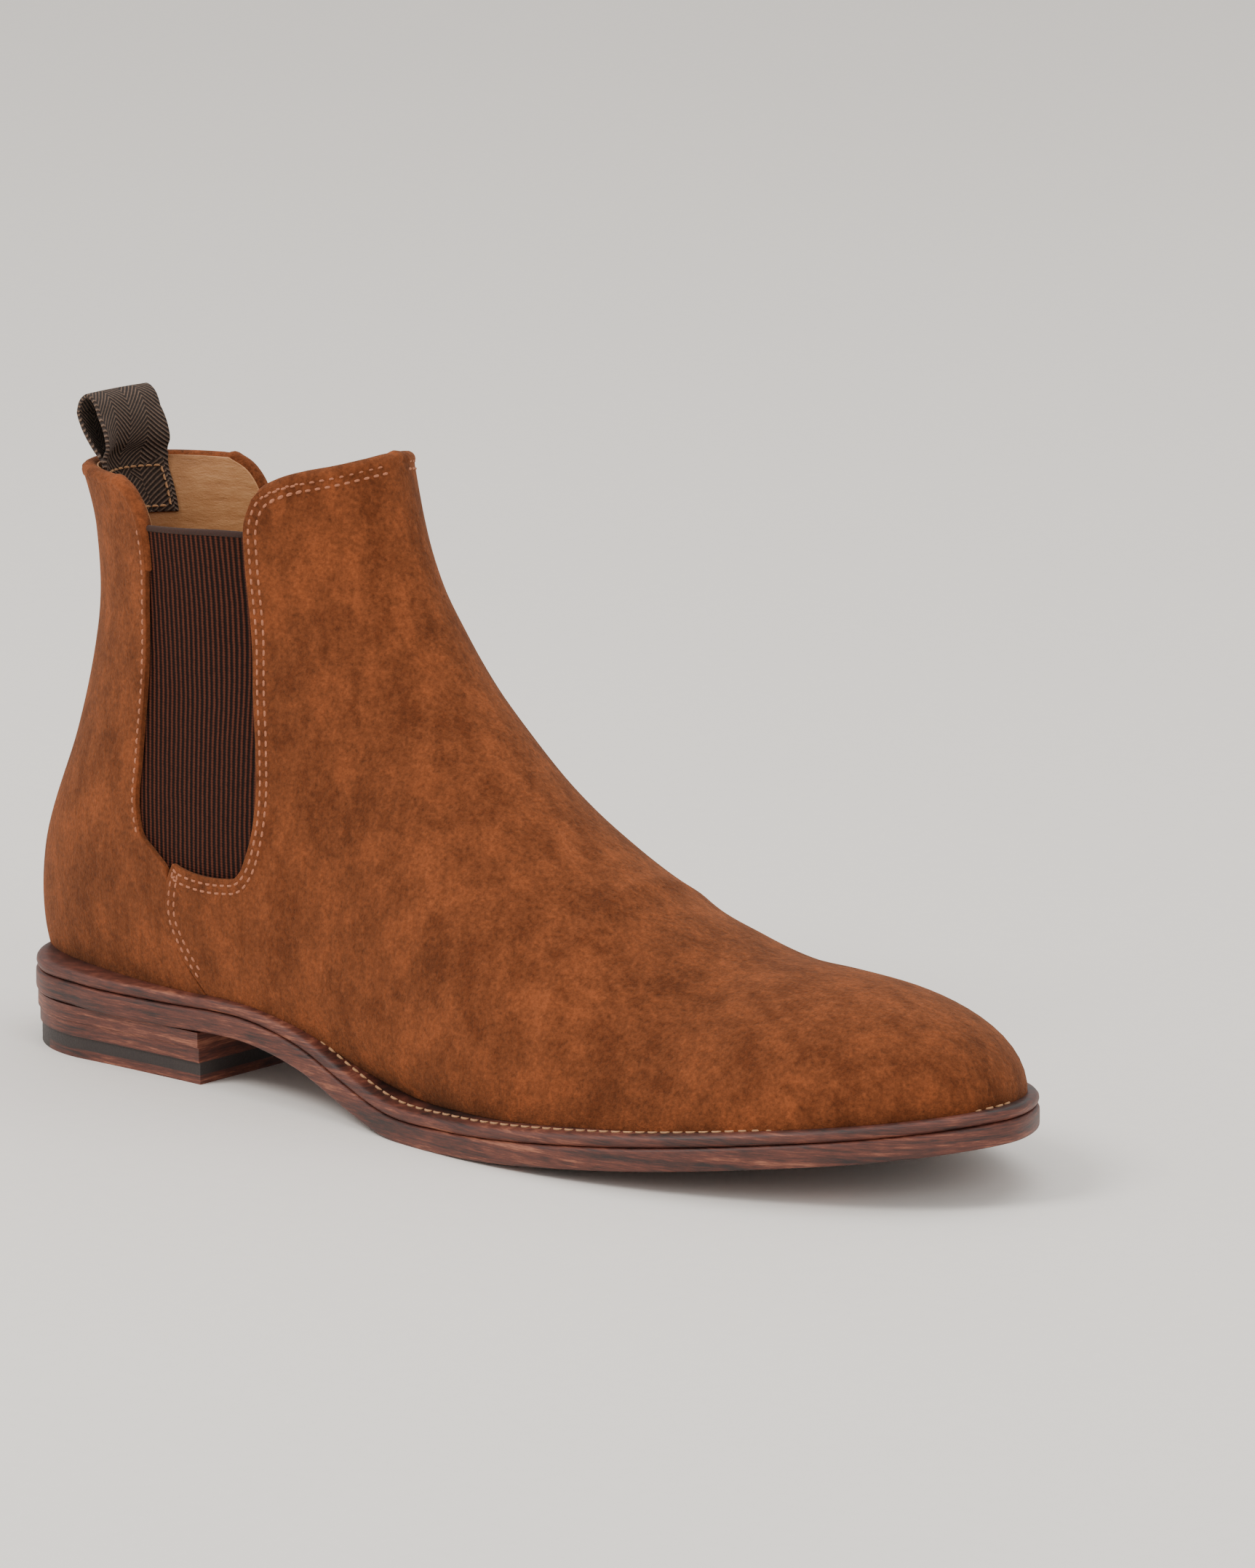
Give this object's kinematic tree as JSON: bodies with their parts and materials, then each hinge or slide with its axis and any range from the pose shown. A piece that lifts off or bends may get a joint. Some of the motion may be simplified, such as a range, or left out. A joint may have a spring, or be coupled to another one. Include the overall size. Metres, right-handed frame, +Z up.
{
  "type": "chelsea_boot",
  "caption": "Right-foot suede chelsea boot with elastic side gores, a webbing pull tab, a stitched welt and a stacked heel.",
  "frame": {"origin": "centre of the heel's ground face, on the ground", "axes": "+X to the toe, +Y to the inner (medial) side of the foot, +Z up"},
  "size_m": [0.3073, 0.1046, 0.166],
  "materials": {
    "suede": "matte",
    "lining": "satin",
    "sole_leather": "polished",
    "rubber": "matte",
    "elastic": "ribbed",
    "webbing": "herringbone weave",
    "canvas": "woven",
    "board": "fibrous",
    "cork": "granular",
    "steel": "brushed",
    "brass": "polished"
  },
  "bodies": {
    "boot": {"outsole": "sole_leather", "welt": "sole_leather", "gemming_rib": "canvas", "cork_filler": "cork", "shank": "steel", "shank_rivets": "steel", "insole": "sole_leather", "sock_liner": "lining", "heel_lift_1": "sole_leather", "heel_lift_2": "sole_leather", "top_lift_rubber": "rubber", "top_lift_leather": "sole_leather", "heel_nails": "steel", "top_lift_pins": "brass", "heel_counter": "board", "toe_puff": "board", "vamp_interlining": "canvas", "vamp": "suede", "vamp_lining": "lining", "quarter_heel": "suede", "heel_lining": "lining", "gore_lateral": "elastic", "gore_medial": "elastic"},
    "back_shaft": {"quarter_back": "suede", "back_lining": "lining", "back_tape": "canvas", "pull_tab_ends": "webbing"},
    "tab_loop": {"pull_tab_loop": "webbing"}
  },
  "joints": [
    {"name": "gore_stretch", "type": "hinge", "parent": "boot", "child": "back_shaft", "pos_m": [-0.0315, 0, 0.076], "axis": [0, -1, 0], "range_deg": [0, 10], "stiffness_Nm_per_rad": 1.2, "springref_deg": -5.16, "deforming": ["gore_lateral", "gore_medial"]},
    {"name": "pull_tab_fold", "type": "hinge", "parent": "back_shaft", "child": "tab_loop", "pos_m": [-0.019, 0, 0.1492], "axis": [0, -1, 0], "range_deg": [-30, 30], "stiffness_Nm_per_rad": 0.02}
  ]
}
